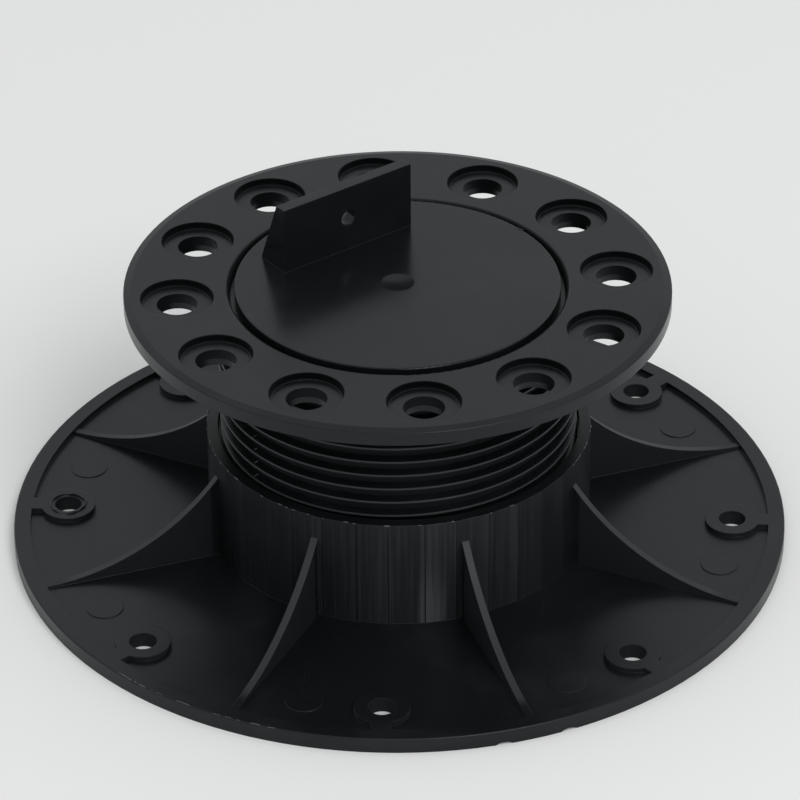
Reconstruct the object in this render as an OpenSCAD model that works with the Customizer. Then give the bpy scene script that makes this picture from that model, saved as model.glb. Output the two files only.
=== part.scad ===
// Screw-adjusted decking pedestal: a ribbed base with a threaded collar, a threaded head that
// screws up and down in it, and a joist disc that snaps into the head and stays free to turn.
// The ground is at z = 0 and the axis of the thread is the z axis.

/* [Base plate] */
// Outer diameter of the base plate
base_d = 203; // [190:1:240]
// Thickness of the base plate's floor
floor_t = 2.8; // [2.4:0.1:5]
// Height of the raised rim and the screw bosses above the floor
rim_rise = 1.3; // [0.8:0.1:3]
// Width of the raised rim
rim_w = 4.3; // [3:0.1:7]
// Rounding of the rim's upper outer edge
rim_edge_r = 0.4; // [0.2:0.1:1.2]

/* [Base screw bosses] */
// Number of screw bosses, and of ribs between them
boss_count = 8; // [4:1:10]
// Heading of the first screw boss in degrees
boss_heading = -3; // [-20:1:20]
// Distance from the plate's edge to the screw holes' centres
boss_inset = 13.8; // [12:0.2:18]
// Diameter of the screw bosses
boss_d = 14.2; // [12:0.2:17]
// Diameter of the screw holes
boss_hole_d = 7.1; // [4:0.1:9]
// Width of the neck that joins a boss to the rim
boss_neck_w = 5; // [3:0.5:9]

/* [Base ribs and marks] */
// Thickness of the ribs
rib_t = 1.9; // [1.2:0.1:4]
// How far a rib's top lies below the collar's top
rib_drop = 6.6; // [3:0.2:12]
// Height of a rib's toe above the floor, at the rim
rib_toe = 0.6; // [0.3:0.1:1.4]
// Diameter of the ejector pads on the floor
pad_d = 9.7; // [5:0.1:12]
// Height of the ejector pads above the floor
pad_h = 0.2; // [0.1:0.05:0.5]
// Distance from the plate's edge to the ejector pads' centres
pad_inset = 15; // [12:0.1:20]
// Heading of the ejector pads from the bosses in degrees
pad_lead = -13.1; // [-16:0.1:-10]
// Width of the two shallow notches in the plate's lower edge
notch_w = 4.4; // [2:0.2:8]
// Depth of the two notches
notch_h = 0.75; // [0.3:0.05:1.5]
// Distance between the two notches along the edge
notch_spread = 17.2; // [12:0.2:30]
// The rib that the two notches straddle, counted from the first
notch_rib = 6; // [0:1:7]

/* [Collar] */
// Height of the collar's top above the ground
collar_h = 32.8; // [28:0.1:45]
// Thickness of the collar's wall
collar_wall = 3; // [2:0.1:6]
// Number of flats on the collar's outside
collar_flats = 36; // [24:1:72]
// Heading of the first corner between two flats in degrees
flat_heading = 7.1; // [0:0.1:15]
// How unevenly the flats are spaced, in degrees
flat_scatter = 0.4; // [0:0.1:2]
// Height of the thread inside the collar
nut_h = 11; // [8:0.5:16]
// Plain mouth above the thread inside the collar
mouth_h = 2; // [0.5:0.1:5]

/* [Thread] */
// Outside diameter of the stem's thread
thread_d = 92.5; // [80:0.1:100]
// Rise of the thread for each turn
thread_pitch = 4; // [3.6:0.1:6]
// Depth of the thread
thread_depth = 2; // [1.2:0.1:2.6]
// Width of the ridge at its crest
crest_w = 0.6; // [0.5:0.1:1.4]
// Width of the ridge at its root
root_w = 1.5; // [1.2:0.1:2.2]
// Clearance between the stem's thread and the collar's
thread_gap = 0.35; // [0.2:0.05:0.5]
// Clearance of the collar's plain bore past its thread
bore_relief = 0.4; // [0.2:0.05:0.8]

/* [Head] */
// Height of the head's top face above the ground, as it stands
head_z = 74; // [66:0.5:78]
// Diameter of the head's flange
head_d = 140.6; // [134:0.2:180]
// Thickness of the flange
head_t = 4; // [3.4:0.1:7]
// Rounding of the flange's upper edges
head_edge_r = 0.3; // [0.2:0.1:1]
// Width of the strip along the flange's edge that falls away outwards
head_roll_w = 2; // [1:0.1:4]
// How far that strip falls
head_roll_t = 0.4; // [0.1:0.1:0.6]
// Length of the threaded stem below the flange
stem_l = 52; // [46:0.2:56]
// Thickness of the stem's wall behind the thread
stem_wall = 3.25; // [2:0.05:6]
// Distance from the stem's lower end to the thread's start
thread_lead = 1.4; // [1.2:0.1:3]
// Plain stem left between the thread's end and the flange, at the least
thread_relief = 1.6; // [1:0.1:4]

/* [Head holes] */
// Number of holes in the flange
hole_count = 12; // [4:1:14]
// Heading of the first hole in degrees
hole_heading = 6.4; // [0:0.1:30]
// Distance from the flange's edge to the holes' centres
hole_inset = 13.6; // [11:0.1:16]
// Diameter of the through holes
hole_d = 10.4; // [5:0.1:13]
// Diameter of the counterbores
sink_d = 18.6; // [14:0.2:20]
// Depth of the counterbores
sink_t = 1.8; // [1:0.1:2.4]
// Rounding between the walls and the floors of the counterbores and the disc's seat
sink_foot_r = 0.6; // [0.2:0.1:0.9]
// Diameter of the bosses round the holes, under the flange
under_boss_d = 15; // [12:0.2:20.4]
// Height of the bosses under the flange
under_boss_h = 2.2; // [0.5:0.1:4]

/* [Joist disc] */
// How far the disc's edge reaches past the stem's bore
disc_lap = 0.85; // [0.7:0.05:1.4]
// Clearance between the disc's edge and the head
disc_groove = 1.55; // [0.8:0.05:1.9]
// Depth of the seat in the head
seat_t = 3.2; // [2.2:0.1:4]
// Rounding of the seat's mouth
seat_edge_r = 0.9; // [0.5:0.1:1.4]
// How far the disc stands above the head's top
disc_rise = 0.5; // [0.1:0.1:2]
// Rounding of the disc's upper edge
disc_edge_r = 0.3; // [0.2:0.1:0.8]
// How far the lip under the disc reaches in from the stem's bore
lip_reach = 1.6; // [1.4:0.1:4]
// Thickness of the lip
lip_t = 2.3; // [1.6:0.1:4]
// Running clearance between the disc and the head
run_gap = 0.3; // [0.2:0.05:0.5]
// Number of snap hooks under the disc
hook_count = 4; // [3:1:8]
// Width of a snap hook round the axis, in degrees
hook_span = 26; // [10:1:40]
// Thickness of a snap hook's arm
hook_t = 2.4; // [1.5:0.1:4]
// How far a snap hook's barb reaches under the lip
barb_reach = 1.2; // [0.6:0.1:1.5]
// Height of the barb
barb_h = 2.8; // [1.5:0.1:5]
// Diameter of the shallow gate mark at the disc's centre
gate_d = 8.6; // [4:0.2:14]
// Depth of the gate mark
gate_t = 0.4; // [0.1:0.1:1]

/* [Joist fin] */
// Heading of the fin's length in degrees
fin_heading = 36.6; // [0:0.2:90]
// Distance from the axis to the fin's inner face
fin_offset = 21.2; // [10:0.2:24]
// Length of the fin
fin_l = 40.4; // [24:0.2:46]
// Height of the fin above the disc
fin_h = 18.3; // [12:0.1:30]
// Thickness of the fin
fin_t = 3.35; // [2:0.05:5]
// Diameter of the screw hole in the fin
fin_hole_d = 4.2; // [3:0.1:7]
// Height of the screw hole above the disc
fin_hole_h = 9.3; // [6:0.1:12]
// How far a gusset reaches behind the fin at its foot
gusset_reach = 7.15; // [3:0.05:9]
// Thickness of a gusset
gusset_t = 3; // [1.5:0.1:5]

/* [Hidden] */
$fn = 96;
plastic = "#1e1f21";

// Overlap that makes two shapes of one moulding a single solid
bite = 0.6;
// Overshoot of a cut past the surface that it opens
over = 1;
// Columns of the thread's mesh in each turn
thread_sides = 48;
// Heading at which the thread starts, at the back
thread_heading = 90;

base_r = base_d / 2;
rim_h = floor_t + rim_rise;
rim_in_r = base_r - rim_w;
boss_r = base_r - boss_inset;
pad_r = base_r - pad_inset;
boss_step = 360 / boss_count;
rib_heading = boss_heading + boss_step / 2;

crest_r = thread_d / 2;
root_r = crest_r - thread_depth;
nut_crest_r = root_r + thread_gap;
nut_root_r = crest_r + thread_gap;
mesh_bulge = 1 / cos(180 / thread_sides);
bore_r = nut_root_r * mesh_bulge + bore_relief;
collar_r = bore_r + collar_wall;
nut_hi = collar_h - mouth_h;
nut_lo = nut_hi - nut_h;
rib_top = collar_h - rib_drop;
rib_toe_z = floor_t + rib_toe;
rib_run = rim_in_r - collar_r;
rib_rise = rib_top - rib_toe_z;
rib_arc_r = (rib_run * rib_run + rib_rise * rib_rise) / (2 * rib_rise);

head_r = head_d / 2;
hole_r = head_r - hole_inset;
hole_step = 360 / hole_count;
flange_z = head_z - head_t;
stem_lo = flange_z - stem_l;
stem_in_r = root_r - stem_wall;
thread_z = stem_lo + thread_lead;
thread_turns = floor((stem_l - thread_lead - root_w / 2 - thread_relief) / thread_pitch);

disc_r = stem_in_r + disc_lap;
seat_r = disc_r + disc_groove;
seat_z = head_z - seat_t;
lip_r = stem_in_r - lip_reach;
lip_z = seat_z - lip_t;
disc_z = seat_z + run_gap;
disc_top = head_z + disc_rise;
hook_r = lip_r - run_gap;
barb_z = lip_z - run_gap;
hook_z = barb_z - barb_h;

notch_r = (notch_w * notch_w / 4 + notch_h * notch_h) / (2 * notch_h);
notch_turn = asin(notch_spread / 2 / base_r);

// A point on a circle round the axis
function on_axis(r, heading, z) = [r * cos(heading), r * sin(heading), z];

// A rod with a right-hand ridge round it, as one closed mesh. The ridge starts at the height z_first,
// measured at its middle.
module threaded_rod(z_lo, z_hi, z_first, turns, core, crest, crest_width, root_width) {
    n = thread_sides;
    last = turns * n;
    pen = last - n;

    function heading(c) = thread_heading + c * 360 / n;
    function ridge(c, b) = 2 * n + 4 * c + b;
    function low(c) = c % n;
    function high(c) = n + c % n;
    function ring(z) = [for (c = [0 : n - 1]) on_axis(core, heading(c), z)];
    function ridge_points(c) = let (z = z_first + thread_pitch * c / n) [
        on_axis(core, heading(c), z - root_width / 2),
        on_axis(crest, heading(c), z - crest_width / 2),
        on_axis(crest, heading(c), z + crest_width / 2),
        on_axis(core, heading(c), z + root_width / 2)
    ];
    function quad(a, b, c, d) = [[a, b, c], [a, c, d]];

    points = concat(ring(z_lo), ring(z_hi), [for (c = [0 : last]) each ridge_points(c)]);

    ends = [
        [for (c = [0 : n - 1]) low(c)],
        [for (c = [n - 1 : -1 : 0]) high(c)],
        [for (b = [3 : -1 : 0]) ridge(0, b)],
        [for (b = [0 : 3]) ridge(last, b)]
    ];
    ridge_strips = [
        for (c = [0 : last - 1], b = [0 : 2])
            each quad(ridge(c, b), ridge(c, b + 1), ridge(c + 1, b + 1), ridge(c + 1, b))
    ];
    groove_strips = [
        for (c = [0 : pen - 1])
            each quad(ridge(c, 3), ridge(c + n, 0), ridge(c + n + 1, 0), ridge(c + 1, 3))
    ];
    low_strip = [
        for (c = [0 : n - 2])
            each quad(low(c), ridge(c, 0), ridge(c + 1, 0), low(c + 1))
    ];
    high_strip = [
        for (c = [1 : n - 1])
            each quad(ridge(pen + c, 3), high(c), high(c + 1), ridge(pen + c + 1, 3))
    ];
    low_seam = [low(0), ridge(0, 0), ridge(0, 3), ridge(n, 0), ridge(n - 1, 0)];
    high_seam = [high(0), ridge(last, 3), ridge(last, 0), ridge(pen, 3), ridge(pen + 1, 3)];
    seams = [
        for (i = [0 : 3])
            each [
                [low(n - 1), low_seam[i + 1], low_seam[i]],
                [high(1), high_seam[i + 1], high_seam[i]]
            ]
    ];

    polyhedron(points, concat(ends, ridge_strips, groove_strips, low_strip, high_strip, seams));
}

// Half section of a round plate with a rounded upper edge
module plate_section(r, t, edge_r) {
    square([r - edge_r, t]);
    square([r, t - edge_r]);
    translate([r - edge_r, t - edge_r]) circle(edge_r);
}

// Half section of the head's flange, whose upper edge falls away outwards and ends in a rounding
module flange_section() {
    edge_z = head_t - head_roll_t;
    polygon([
        [0, 0],
        [head_r, 0],
        [head_r, edge_z - head_edge_r],
        [head_r - head_edge_r, edge_z],
        [head_r - head_roll_w, head_t],
        [0, head_t]
    ]);
    translate([head_r - head_edge_r, edge_z - head_edge_r]) circle(head_edge_r);
}

// Section of a cut with a rounded mouth and a rounded foot, its mouth at height 0
module mouth_section(r, t, edge_r) {
    translate([0, -t]) square([r - sink_foot_r, t + over]);
    translate([0, sink_foot_r - t]) square([r, t - sink_foot_r + over]);
    translate([r - sink_foot_r, sink_foot_r - t]) circle(sink_foot_r);
    difference() {
        translate([0, -edge_r]) square([r + edge_r, edge_r + over]);
        translate([r + edge_r, -edge_r]) circle(edge_r);
    }
}

// Copies round the axis
module around(count, heading) {
    for (i = [0 : count - 1])
        rotate(heading + i * 360 / count) children();
}

// Outline of the collar, whose outside is a ring of flats of uneven width
module collar_outline() {
    step = 360 / collar_flats;
    polygon([
        for (i = [0 : collar_flats - 1])
            let (a = flat_heading + i * step + flat_scatter * sin(i * 149))
                [collar_r * cos(a), collar_r * sin(a)]
    ]);
}

// Base plate with its raised rim
module base_plate() {
    rotate_extrude() {
        square([rim_in_r + bite, floor_t]);
        difference() {
            plate_section(base_r, rim_h, rim_edge_r);
            translate([0, -over]) square([rim_in_r, rim_h + 2 * over]);
        }
    }
}

// Screw boss on the floor, joined to the rim by a neck
module screw_boss() {
    translate([boss_r, 0, 0]) {
        cylinder(h = rim_h, d = boss_d);
        translate([0, -boss_neck_w / 2, 0])
            cube([rim_in_r - boss_r + bite, boss_neck_w, rim_h]);
    }
}

// Rib with a hollow curved back, from the collar down to the rim
module rib() {
    rotate([90, 0, 0])
        linear_extrude(rib_t, center = true)
            difference() {
                translate([collar_r - collar_wall / 2, floor_t - bite])
                    square([rib_run + collar_wall / 2 + bite, rib_top - floor_t + bite]);
                translate([rim_in_r, rib_toe_z + rib_arc_r]) circle(rib_arc_r, $fn = 180);
            }
}

// Scoop out of the plate's lower edge
module edge_notch() {
    translate([rim_in_r, 0, notch_h - notch_r])
        rotate([0, 90, 0]) cylinder(h = rim_w + over, r = notch_r);
}

// Collar with a thread inside, open at both ends
module base() {
    color(plastic)
        difference() {
            union() {
                base_plate();
                around(boss_count, boss_heading) screw_boss();
                around(boss_count, rib_heading) rib();
                around(boss_count, boss_heading + pad_lead)
                    translate([pad_r, 0, 0]) cylinder(h = floor_t + pad_h, d = pad_d);
                linear_extrude(collar_h) collar_outline();
            }
            translate([0, 0, -over]) cylinder(h = nut_lo + over, r = bore_r);
            translate([0, 0, nut_hi]) cylinder(h = collar_h - nut_hi + over, r = bore_r);
            collar_thread();
            around(boss_count, boss_heading)
                translate([boss_r, 0, -over]) cylinder(h = rim_h + 2 * over, d = boss_hole_d);
            for (side = [-1, 1])
                rotate(rib_heading + notch_rib * boss_step + side * notch_turn) edge_notch();
        }
}

// Cut of the collar's thread, in mesh with the stem and long enough to run out at both ends
module collar_thread() {
    lead_turns = ceil((thread_z - nut_lo) / thread_pitch) + 2;
    cut_first = thread_z - lead_turns * thread_pitch;
    cut_turns = ceil((nut_hi - cut_first) / thread_pitch) + 1;
    root_cut = root_w + 2 * thread_gap;
    threaded_rod(
        z_lo = cut_first - root_cut,
        z_hi = cut_first + cut_turns * thread_pitch + root_cut,
        z_first = cut_first,
        turns = cut_turns,
        core = nut_crest_r * mesh_bulge,
        crest = nut_root_r * mesh_bulge,
        crest_width = crest_w + 2 * thread_gap,
        root_width = root_cut
    );
}

// Flange with counterbored holes on a hollow threaded stem, with a seat for the disc in its top
module threaded_head() {
    color(plastic)
        difference() {
            union() {
                translate([0, 0, flange_z]) rotate_extrude() flange_section();
                around(hole_count, hole_heading)
                    translate([hole_r, 0, flange_z - under_boss_h])
                        cylinder(h = under_boss_h + bite, d = under_boss_d);
                threaded_rod(
                    z_lo = stem_lo,
                    z_hi = flange_z + bite,
                    z_first = thread_z,
                    turns = thread_turns,
                    core = root_r,
                    crest = crest_r,
                    crest_width = crest_w,
                    root_width = root_w
                );
            }
            translate([0, 0, stem_lo - over]) cylinder(h = lip_z - stem_lo + over, r = stem_in_r);
            translate([0, 0, stem_lo]) cylinder(h = stem_l + head_t, r = lip_r);
            translate([0, 0, head_z]) rotate_extrude() mouth_section(seat_r, seat_t, seat_edge_r);
            around(hole_count, hole_heading) translate([hole_r, 0, head_z]) {
                translate([0, 0, -head_t - under_boss_h - over])
                    cylinder(h = head_t + under_boss_h + over, d = hole_d);
                rotate_extrude() mouth_section(sink_d / 2, sink_t, head_edge_r);
            }
        }
}

// Snap hook whose barb runs under the head's lip, with a slope that leads it in
module snap_hook() {
    rotate([0, 0, -hook_span / 2])
        rotate_extrude(angle = hook_span)
            polygon([
                [hook_r - hook_t, disc_z + bite],
                [hook_r, disc_z + bite],
                [hook_r, barb_z],
                [hook_r + run_gap + barb_reach, barb_z],
                [hook_r, hook_z],
                [hook_r - hook_t, hook_z]
            ]);
}

// Upright fin that a joist is screwed to, stiffened by a gusset at each end of its back
module joist_fin() {
    translate([-fin_l / 2, fin_offset, disc_top - bite]) cube([fin_l, fin_t, fin_h + bite]);
    for (x = [-fin_l / 2, fin_l / 2 - gusset_t])
        translate([x, fin_offset, disc_top])
            rotate([90, 0, 90])
                linear_extrude(gusset_t)
                    polygon([
                        [fin_t / 2, -bite],
                        [fin_t + gusset_reach, -bite],
                        [fin_t + gusset_reach, 0],
                        [fin_t, fin_h],
                        [fin_t / 2, fin_h]
                    ]);
}

// Round plate that a joist stands on, with the shallow gate mark in its top
module disc_plate() {
    gate_r = (gate_d * gate_d / 4 + gate_t * gate_t) / (2 * gate_t);
    difference() {
        translate([0, 0, disc_z])
            rotate_extrude() plate_section(disc_r, disc_top - disc_z, disc_edge_r);
        translate([0, 0, disc_top - gate_t + gate_r]) sphere(gate_r);
    }
}

// Disc with its fin above and its snap hooks below
module joist_disc() {
    color(plastic)
        difference() {
            union() {
                disc_plate();
                rotate(fin_heading) joist_fin();
                around(hook_count, fin_heading) snap_hook();
            }
            rotate(fin_heading)
                translate([0, fin_offset - over, disc_top + fin_hole_h])
                    rotate([-90, 0, 0]) cylinder(h = fin_t + 2 * over, d = fin_hole_d);
        }
}

base();
threaded_head();
joist_disc();
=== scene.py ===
"""Dresses a screw-adjusted decking pedestal in black moulded plastic and stands it in a pale studio."""

import logging
import math
from dataclasses import dataclass, field
from enum import Enum
from functools import partial, reduce

import bmesh
import bpy
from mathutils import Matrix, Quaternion, Vector


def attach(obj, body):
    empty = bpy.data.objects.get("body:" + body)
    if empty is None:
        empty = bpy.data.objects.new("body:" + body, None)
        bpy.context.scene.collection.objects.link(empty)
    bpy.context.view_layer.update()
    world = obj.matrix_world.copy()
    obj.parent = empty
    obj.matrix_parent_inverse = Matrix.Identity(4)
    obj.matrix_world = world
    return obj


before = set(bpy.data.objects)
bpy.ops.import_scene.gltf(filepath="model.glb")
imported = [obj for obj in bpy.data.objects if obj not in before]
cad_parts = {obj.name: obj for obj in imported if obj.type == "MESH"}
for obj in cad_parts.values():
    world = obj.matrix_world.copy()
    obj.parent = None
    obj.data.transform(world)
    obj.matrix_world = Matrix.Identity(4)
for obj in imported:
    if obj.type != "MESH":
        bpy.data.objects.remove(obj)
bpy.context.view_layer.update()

log = logging.getLogger("decking_pedestal")

MM = 0.001
UP = (0.0, 0.0, 1.0)
LEVEL = (1.0, 1.0, 0.0)
STILL = (0.0, 0.0, 0.0)
BOSS_RING_R = 87.7 * MM
FLANGE_FOOT_Z = 69.5 * MM

Pair = tuple[float, float]
Triple = tuple[float, float, float]
Socket = bpy.types.NodeSocket
Material = bpy.types.Material
Piece = bpy.types.Object
Value = Socket | float | Triple


class Body(Enum):
    """The three bodies that move."""

    BASE = "base"
    HEAD = "head"
    DISC = "disc"


class Grain(Enum):
    """How the mould left a surface."""

    SATIN = "satin"
    DRAWN = "drawn"


@dataclass(frozen=True)
class Ripple:
    """Smooth unevenness of a torn or moulded edge.

    Attributes:
        amount: How far points move.
        grain: How quickly the noise changes, per metre.
        seed: The noise's seed.
    """

    amount: float
    grain: float
    seed: float


@dataclass(frozen=True)
class FlakeKind:
    """Ragged flakes of torn plastic.

    Attributes:
        low: Smallest half sizes of a flake.
        high: Largest half sizes of a flake.
        keep: Share of the places that have a flake.
        seed: Seed of every choice.
        ragged: Unevenness of a flake, in its own half sizes.
        grain: How quickly that unevenness changes.
    """

    low: Triple
    high: Triple
    keep: float
    seed: int
    ragged: float = 0.9
    grain: float = 1.6


class NodeSheet:
    """A node tree with short ways to add nodes and to wire them."""

    def __init__(self, tree: bpy.types.NodeTree) -> None:
        """Keeps the node tree to build in."""
        self.tree = tree

    def add(self, kind: str, inputs: dict | None = None, **settings: object) -> bpy.types.Node:
        """Adds a node, sets its properties and fills its inputs.

        Args:
            kind: Blender's identifier of the node.
            inputs: Input name or number to a plain value, or to the socket that feeds it.
            **settings: Properties of the node.

        Returns:
            The new node.
        """
        node = self.tree.nodes.new(kind)
        for name, value in settings.items():
            setattr(node, name, value)
        for key, value in (inputs or {}).items():
            self.feed(node.inputs[key], value)
        return node

    def out(self, kind: str, inputs: dict | None = None, output: int | str = 0, **settings: object) -> Socket:
        """Adds a node and hands back the output with this name or number."""
        return self.add(kind, inputs, **settings).outputs[output]

    def feed(self, socket: Socket, value: object) -> None:
        """Links a socket to another one, or sets its plain value.

        Args:
            socket: The input to feed.
            value: A socket, or a value that the input takes.
        """
        if isinstance(value, Socket):
            self.tree.links.new(value, socket)
        else:
            socket.default_value = value

    def math(self, operation: str, *terms: Value) -> Socket:
        """Adds a Math node."""
        return self.out("ShaderNodeMath", dict(enumerate(terms)), operation=operation)

    def times(self, *terms: Value) -> Socket:
        """Multiplies numbers."""
        return reduce(partial(self.math, "MULTIPLY"), terms)

    def plus(self, *terms: Value) -> Socket:
        """Adds numbers."""
        return reduce(partial(self.math, "ADD"), terms)

    def minus(self, *terms: Value) -> Socket:
        """Takes the later numbers from the first."""
        return reduce(partial(self.math, "SUBTRACT"), terms)

    def most(self, *terms: Value) -> Socket:
        """Picks the largest of some numbers."""
        return reduce(partial(self.math, "MAXIMUM"), terms)

    def within(self, value: Socket, low: float, high: float) -> Socket:
        """Gives 1 where a number lies between two limits."""
        return self.math("COMPARE", value, (low + high) / 2, (high - low) / 2)

    def vector(self, operation: str, *terms: Value) -> Socket:
        """Adds a Vector Math node."""
        output = "Value" if operation in ("DOT_PRODUCT", "LENGTH") else "Vector"
        return self.out("ShaderNodeVectorMath", dict(enumerate(terms)), output, operation=operation)

    def combine(self, x: Value = 0.0, y: Value = 0.0, z: Value = 0.0) -> Socket:
        """Makes a vector of three numbers or sockets."""
        return self.out("ShaderNodeCombineXYZ", {0: x, 1: y, 2: z})

    def split(self, value: Socket) -> bpy.types.NodeOutputs:
        """Takes a vector apart into its three numbers."""
        return self.add("ShaderNodeSeparateXYZ", {0: value}).outputs

    def ease(self, value: Socket, low: float, high: float, first: float = 0.0, last: float = 1.0) -> Socket:
        """Maps a range, low to high, to another one, first to last, with soft ends."""
        spans = {0: value, 1: low, 2: high, 3: first, 4: last}
        return self.out("ShaderNodeMapRange", spans, interpolation_type="SMOOTHSTEP")


class GrowthTree(NodeSheet):
    """A Geometry Nodes tree with named sizes, grown into one plain mesh."""

    def __init__(self, name: str) -> None:
        """Starts an empty tree.

        Args:
            name: Name of the tree and of the piece that it grows.
        """
        super().__init__(bpy.data.node_groups.new(name, "GeometryNodeTree"))
        self.name = name
        self.values: dict[str, float | int | Material] = {}
        self.sizes: dict[str, Socket] = {}
        self.source = self.tree.nodes.new("NodeGroupInput")

    def size(self, name: str, value: float | int | Material) -> Socket:
        """Adds a named input, or finds the one that is there.

        Args:
            name: The input's name.
            value: What it is set to when the piece grows.

        Returns:
            The socket that gives the value inside the tree.
        """
        if name not in self.sizes:
            kinds = {int: "NodeSocketInt", float: "NodeSocketFloat"}
            kind = kinds.get(type(value), "NodeSocketMaterial")
            item = self.tree.interface.new_socket(name=name, in_out="INPUT", socket_type=kind)
            self.values[item.identifier] = value
            self.sizes[name] = next(s for s in self.source.outputs if s.identifier == item.identifier)
        return self.sizes[name]

    def facing(self) -> Socket:
        """Makes the rotation that turns a flake to face away from the axis."""
        axes = self.split(self.out("GeometryNodeInputPosition"))
        return self.combine(z=self.math("ARCTAN2", axes[1], axes[0]))

    def scatter(self, low: Triple, high: Triple, seed: Socket) -> Socket:
        """Draws a random triple for each point."""
        limits = {0: low, 1: high, "Seed": seed}
        return self.out("FunctionNodeRandomValue", limits, data_type="FLOAT_VECTOR")

    def moved(self, geometry: Socket, shift: Triple = STILL, turn: Triple = STILL) -> Socket:
        """Turns and moves geometry."""
        settings = {"Geometry": geometry, "Translation": shift, "Rotation": turn}
        return self.out("GeometryNodeTransform", settings)

    def join(self, *parts: Socket) -> Socket:
        """Joins geometries into one.

        Args:
            *parts: The geometries' sockets.

        Returns:
            The joined geometry's socket.
        """
        joined = self.add("GeometryNodeJoinGeometry")
        for part in parts:
            self.tree.links.new(part, joined.inputs[0])
        return joined.outputs[0]

    def circle(self, radius: Socket, points: int) -> Socket:
        """Draws a round curve."""
        settings = {"Resolution": points, "Radius": radius}
        return self.out("GeometryNodeCurvePrimitiveCircle", settings, mode="RADIUS")

    def sweep(self, path: Socket, profile: Socket) -> Socket:
        """Sweeps a closed profile along a path and closes its ends."""
        settings = {"Curve": path, "Profile Curve": profile, "Fill Caps": True}
        return self.out("GeometryNodeCurveToMesh", settings)

    def wobble(self, geometry: Socket, ripple: Ripple, label: str = "Ripple") -> Socket:
        """Shifts points by smooth noise.

        Args:
            geometry: The geometry's socket.
            ripple: How far and how quickly.
            label: Start of the names of its inputs.

        Returns:
            The shifted geometry's socket.
        """
        amount = self.size(f"{label} Amount", ripple.amount)
        grain = self.size(f"{label} Grain", ripple.grain)
        seed = self.size(f"{label} Seed", ripple.seed)
        settings = {"W": seed, "Scale": grain, "Detail": 1.0}
        noise = self.out("ShaderNodeTexNoise", settings, "Color", noise_dimensions="4D")
        middle = self.vector("SUBTRACT", noise, (0.5, 0.5, 0.5))
        shift = self.out("ShaderNodeVectorMath", {0: middle, "Scale": amount}, operation="SCALE")
        return self.out("GeometryNodeSetPosition", {"Geometry": geometry, "Offset": shift})

    def flakes(self, points: Socket, kind: FlakeKind, turn: Value) -> Socket:
        """Sets a ragged flake of plastic on some of the points.

        Args:
            points: The points' socket.
            kind: The flakes' sizes and number.
            turn: Rotation of the flakes.

        Returns:
            The instances' socket.
        """
        seed = self.size("Flake Seed", kind.seed)
        ball = self.out("GeometryNodeMeshIcoSphere", {"Radius": 1.0, "Subdivisions": 2})
        ragged = self.wobble(ball, Ripple(kind.ragged, kind.grain, float(kind.seed)), "Flake Ripple")
        scale = self.scatter(kind.low, kind.high, seed)
        odds = {"Probability": kind.keep, "Seed": seed}
        chance = self.add("FunctionNodeRandomValue", odds, data_type="BOOLEAN")
        kept = next(socket for socket in chance.outputs if socket.enabled)
        return self.out(
            "GeometryNodeInstanceOnPoints",
            {"Points": points, "Selection": kept, "Instance": ragged, "Rotation": turn, "Scale": scale},
        )

    def grow(self, result: Socket, material: Material) -> Piece:
        """Ends the tree and turns what it makes into a plain mesh with outward faces.

        Args:
            result: The socket of the finished geometry.
            material: Material of the piece.

        Returns:
            The new piece, at the origin.
        """
        plastic = self.size("Material", material)
        real = self.out("GeometryNodeRealizeInstances", {0: result})
        smooth = self.out("GeometryNodeSetShadeSmooth", {0: real})
        coated = self.out("GeometryNodeSetMaterial", {"Geometry": smooth, "Material": plastic})
        self.tree.interface.new_socket(name="Geometry", in_out="OUTPUT", socket_type="NodeSocketGeometry")
        self.add("NodeGroupOutput", {0: coated})
        piece = add_object(self.name, bpy.data.meshes.new(self.name))
        grower = piece.modifiers.new(self.name, "NODES")
        grower.node_group = self.tree
        for identifier, value in self.values.items():
            grower[identifier] = value
        graph = bpy.context.evaluated_depsgraph_get()
        mesh = bpy.data.meshes.new_from_object(piece.evaluated_get(graph), depsgraph=graph)
        piece.modifiers.clear()
        piece.data = mesh
        shape = bmesh.new()
        shape.from_mesh(mesh)
        bmesh.ops.recalc_face_normals(shape, faces=shape.faces)
        shape.to_mesh(mesh)
        shape.free()
        log.info("%s has %d faces", self.name, len(mesh.polygons))
        return piece


def add_object(name: str, data: bpy.types.ID) -> Piece:
    """Adds an object to the scene.

    Args:
        name: The object's name.
        data: Its mesh, lamp or camera.

    Returns:
        The new object, at the origin.
    """
    made = bpy.data.objects.new(name, data)
    bpy.context.scene.collection.objects.link(made)
    return made


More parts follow.
